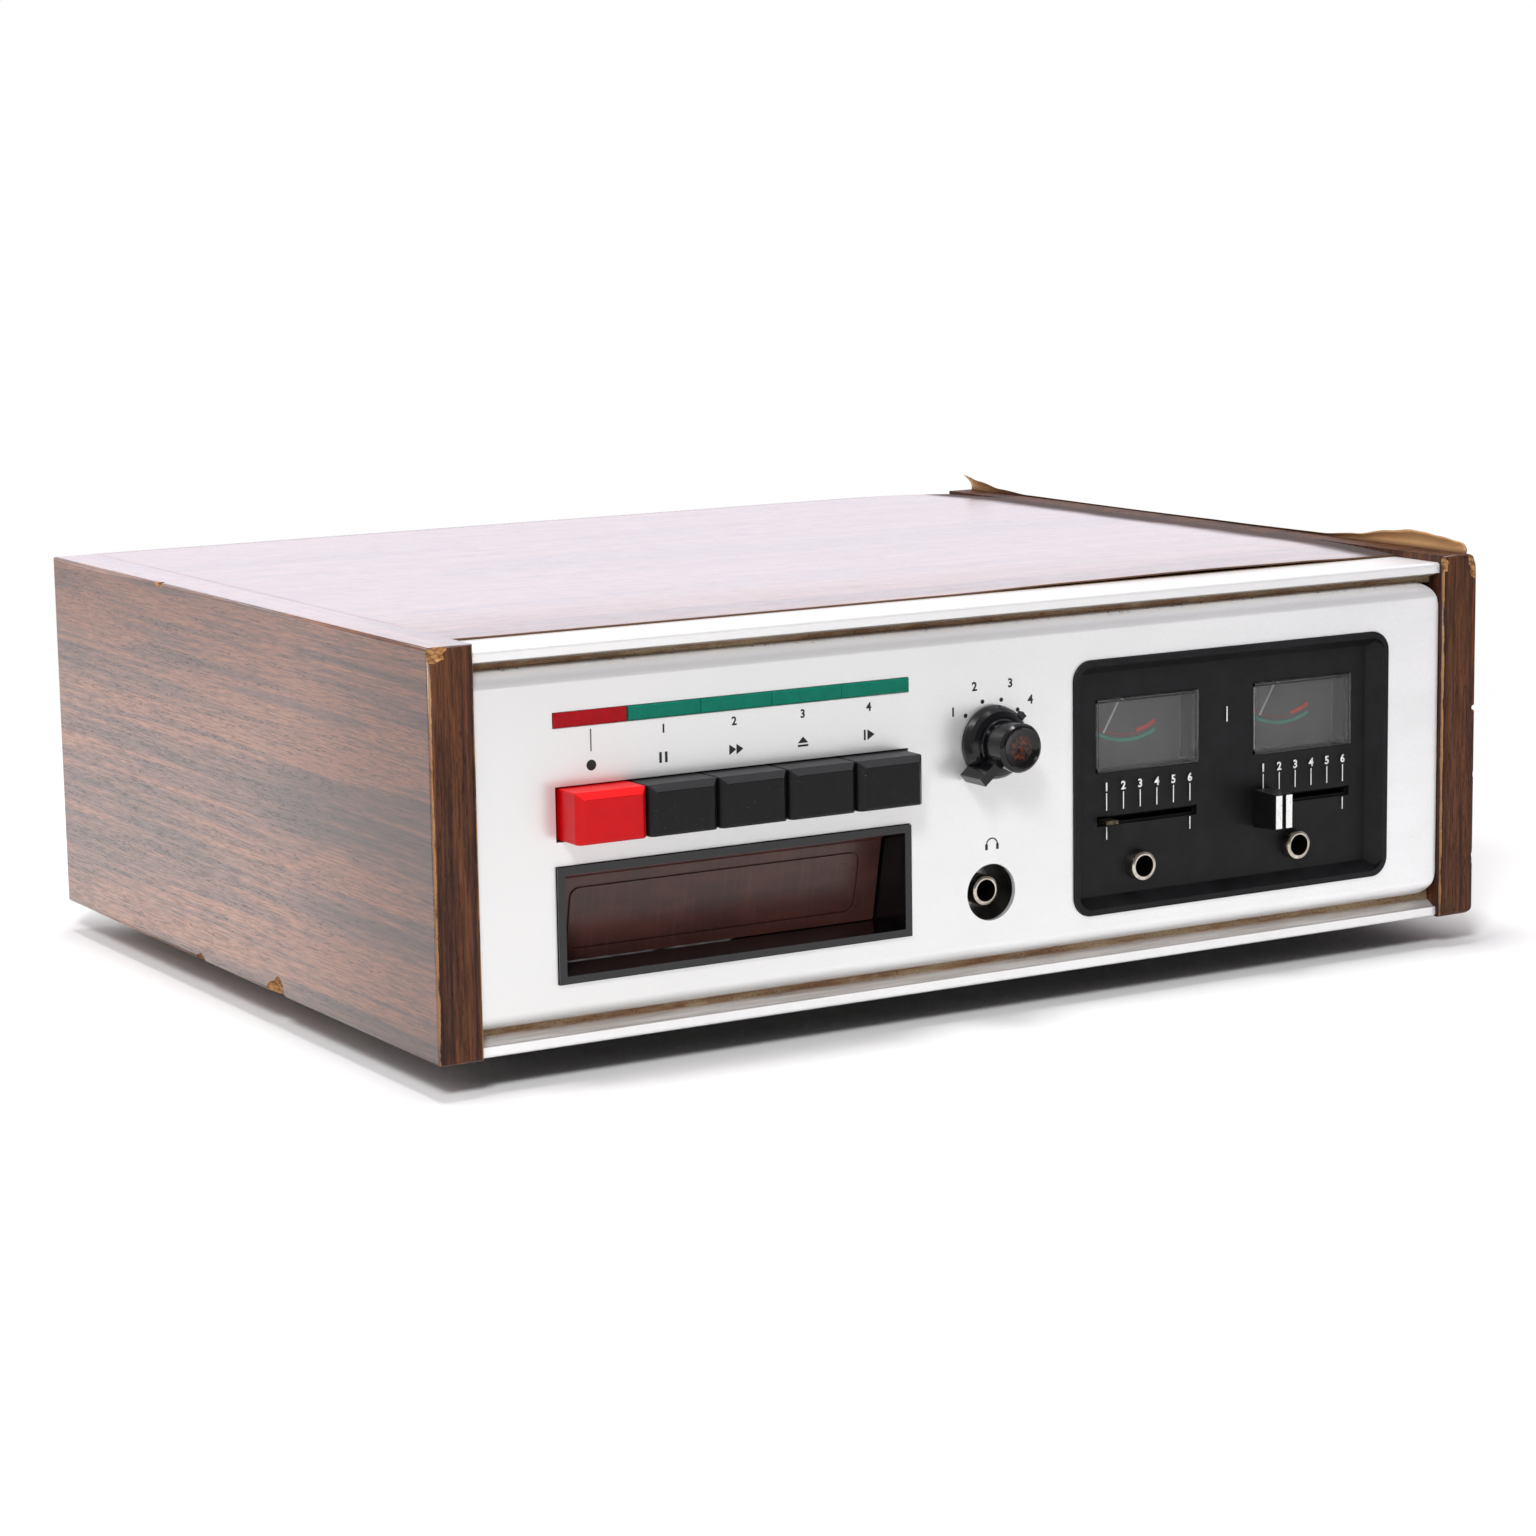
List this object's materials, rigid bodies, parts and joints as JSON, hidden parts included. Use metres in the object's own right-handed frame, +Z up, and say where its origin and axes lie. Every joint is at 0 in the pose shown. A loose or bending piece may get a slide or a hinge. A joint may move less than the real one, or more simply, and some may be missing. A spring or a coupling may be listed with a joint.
{
  "type": "8 track cartridge player and recorder",
  "caption": "Table-top 8 track player and recorder: wood cabinet, aluminium front, cartridge slot with a swinging door, press keys, selector knob, level meters and slide volumes.",
  "frame": {"origin": "under the middle of the part's bounding box, on the plane of its feet", "axes": "+X to the right seen from the front, +Y to the back, +Z up; the controls face -Y"},
  "size_m": [0.36, 0.2904, 0.129],
  "materials": {
    "walnut": "printed walnut vinyl",
    "raw_wood": "raw",
    "vinyl_back": "tan back of the vinyl",
    "aluminium": "satin",
    "steel": "plated",
    "hardboard": "hardboard",
    "rubber": "matte",
    "bright_steel": "bright",
    "nickel": "dulled nickel",
    "black_gloss": "gloss",
    "black_matte": "fine grain",
    "smoked_brown": "smoked",
    "brass": "satin",
    "nylon": "natural",
    "red_plastic": "gloss",
    "key_black": "satin",
    "phenolic": "phenolic",
    "red_lens": "translucent",
    "green_lens": "translucent",
    "clear": "clear",
    "dial_grey": "printed dial",
    "needle_white": "painted"
  },
  "bodies": {
    "cabinet": {"left_side_panel": "walnut", "right_side_panel": "walnut", "top_panel": "walnut", "corner_blocks": "raw_wood", "lifted_vinyl": "vinyl_back", "top_rail": "aluminium", "bottom_rail": "aluminium", "front_subpanel": "steel", "fascia": "aluminium", "chassis_tray": "steel", "back_panel": "hardboard", "rubber_feet": "rubber", "screws": "bright_steel", "cord_grommet": "rubber", "line_sockets": "bright_steel", "slot_frame": "black_gloss", "cartridge_guide": "black_matte", "deck_plate": "steel", "channel_solenoid": "steel", "capstan_bearing": "brass", "drive_belt": "rubber", "drive_motor": "steel", "key_frame": "steel", "switch_bank": "phenolic", "record_lens": "red_lens", "channel_lens": "green_lens", "lamp_housing": "nylon", "indicator_lamps": "clear", "selector_switch": "phenolic", "panel_nuts": "bright_steel", "headphone_jack": "nickel", "meter_frame": "black_matte", "left_meter_case": "dial_grey", "right_meter_case": "dial_grey", "left_meter_cover": "clear", "right_meter_cover": "clear", "volume_controls": "phenolic", "mic_jacks": "nickel", "power_transformer": "steel", "main_circuit_board": "phenolic", "circuit_parts": "nylon"},
    "record_key": {"record_key": "red_plastic"},
    "pause_key": {"pause_key": "key_black"},
    "forward_key": {"forward_key": "key_black"},
    "eject_key": {"eject_key": "key_black"},
    "channel_key": {"channel_key": "key_black"},
    "door": {"cartridge_door": "smoked_brown"},
    "selector": {"selector_knob": "black_gloss", "selector_shaft": "bright_steel"},
    "left_volume": {"left_volume_lever": "nickel"},
    "right_volume": {"right_volume_lever": "nickel", "right_volume_knob": "key_black"},
    "left_needle": {"left_meter_needle": "needle_white"},
    "right_needle": {"right_meter_needle": "needle_white"},
    "flywheel": {"flywheel": "bright_steel", "capstan_shaft": "bright_steel"},
    "motor_rotor": {"motor_pulley": "brass"},
    "head": {"head_carriage": "brass", "tape_head": "bright_steel"},
    "cam": {"channel_cam": "nylon"}
  },
  "joints": [
    {"name": "record_press", "type": "slide", "parent": "cabinet", "child": "record_key", "axis": [0, 1, 0], "range_m": [0, 0.0045], "stiffness_N_per_m": 350, "springref_m": -0.004},
    {"name": "pause_press", "type": "slide", "parent": "cabinet", "child": "pause_key", "axis": [0, 1, 0], "range_m": [0, 0.0045], "stiffness_N_per_m": 350, "springref_m": -0.004},
    {"name": "forward_press", "type": "slide", "parent": "cabinet", "child": "forward_key", "axis": [0, 1, 0], "range_m": [0, 0.0045], "stiffness_N_per_m": 350, "springref_m": -0.004},
    {"name": "eject_press", "type": "slide", "parent": "cabinet", "child": "eject_key", "axis": [0, 1, 0], "range_m": [0, 0.0045], "stiffness_N_per_m": 350, "springref_m": -0.004},
    {"name": "channel_press", "type": "slide", "parent": "cabinet", "child": "channel_key", "axis": [0, 1, 0], "range_m": [0, 0.0045], "stiffness_N_per_m": 350, "springref_m": -0.004},
    {"name": "door_swing", "type": "hinge", "parent": "cabinet", "child": "door", "pos_m": [-0.0855, -0.11825, 0.0559], "axis": [1, 0, 0], "range_deg": [0, 75], "stiffness_Nm_per_rad": 0.01, "springref_deg": -22.92},
    {"name": "selector_turn", "type": "hinge", "parent": "cabinet", "child": "selector", "pos_m": [0, -0.13175, 0.08115], "axis": [0, -1, 0], "range_deg": [0, 93]},
    {"name": "left_volume_slide", "type": "slide", "parent": "cabinet", "child": "left_volume", "axis": [1, 0, 0], "range_m": [0, 0.0305]},
    {"name": "right_volume_slide", "type": "slide", "parent": "cabinet", "child": "right_volume", "axis": [1, 0, 0], "range_m": [0, 0.0305]},
    {"name": "left_needle_swing", "type": "hinge", "parent": "cabinet", "child": "left_needle", "pos_m": [0.0582, -0.11935, 0.0974], "axis": [0, -1, 0], "range_deg": [0, 62], "stiffness_Nm_per_rad": 0.00005, "springref_deg": -17.19},
    {"name": "right_needle_swing", "type": "hinge", "parent": "cabinet", "child": "right_needle", "pos_m": [0.1164, -0.11935, 0.0974], "axis": [0, -1, 0], "range_deg": [0, 62], "stiffness_Nm_per_rad": 0.00005, "springref_deg": -17.19},
    {"name": "flywheel_spin", "type": "hinge", "parent": "cabinet", "child": "flywheel", "pos_m": [-0.0535, -0.02675, 0.018], "axis": [0, 0, 1], "continuous": true},
    {"name": "motor_spin", "type": "hinge", "parent": "cabinet", "child": "motor_rotor", "pos_m": [-0.0535, 0.06525, 0.018], "axis": [0, 0, 1], "continuous": true},
    {"name": "cam_turn", "type": "hinge", "parent": "cabinet", "child": "cam", "pos_m": [-0.1215, -0.00375, 0.028], "axis": [0, 0, 1], "range_deg": [0, 270]},
    {"name": "head_lift", "type": "slide", "parent": "cabinet", "child": "head", "axis": [0, 0, 1], "range_m": [0, 0.0024]}
  ],
  "couplings": [
    {"joint": "motor_spin", "follows": "flywheel_spin", "ratio": 6},
    {"joint": "cam_turn", "follows": "head_lift", "rad_per_m": 1963.4}
  ]
}
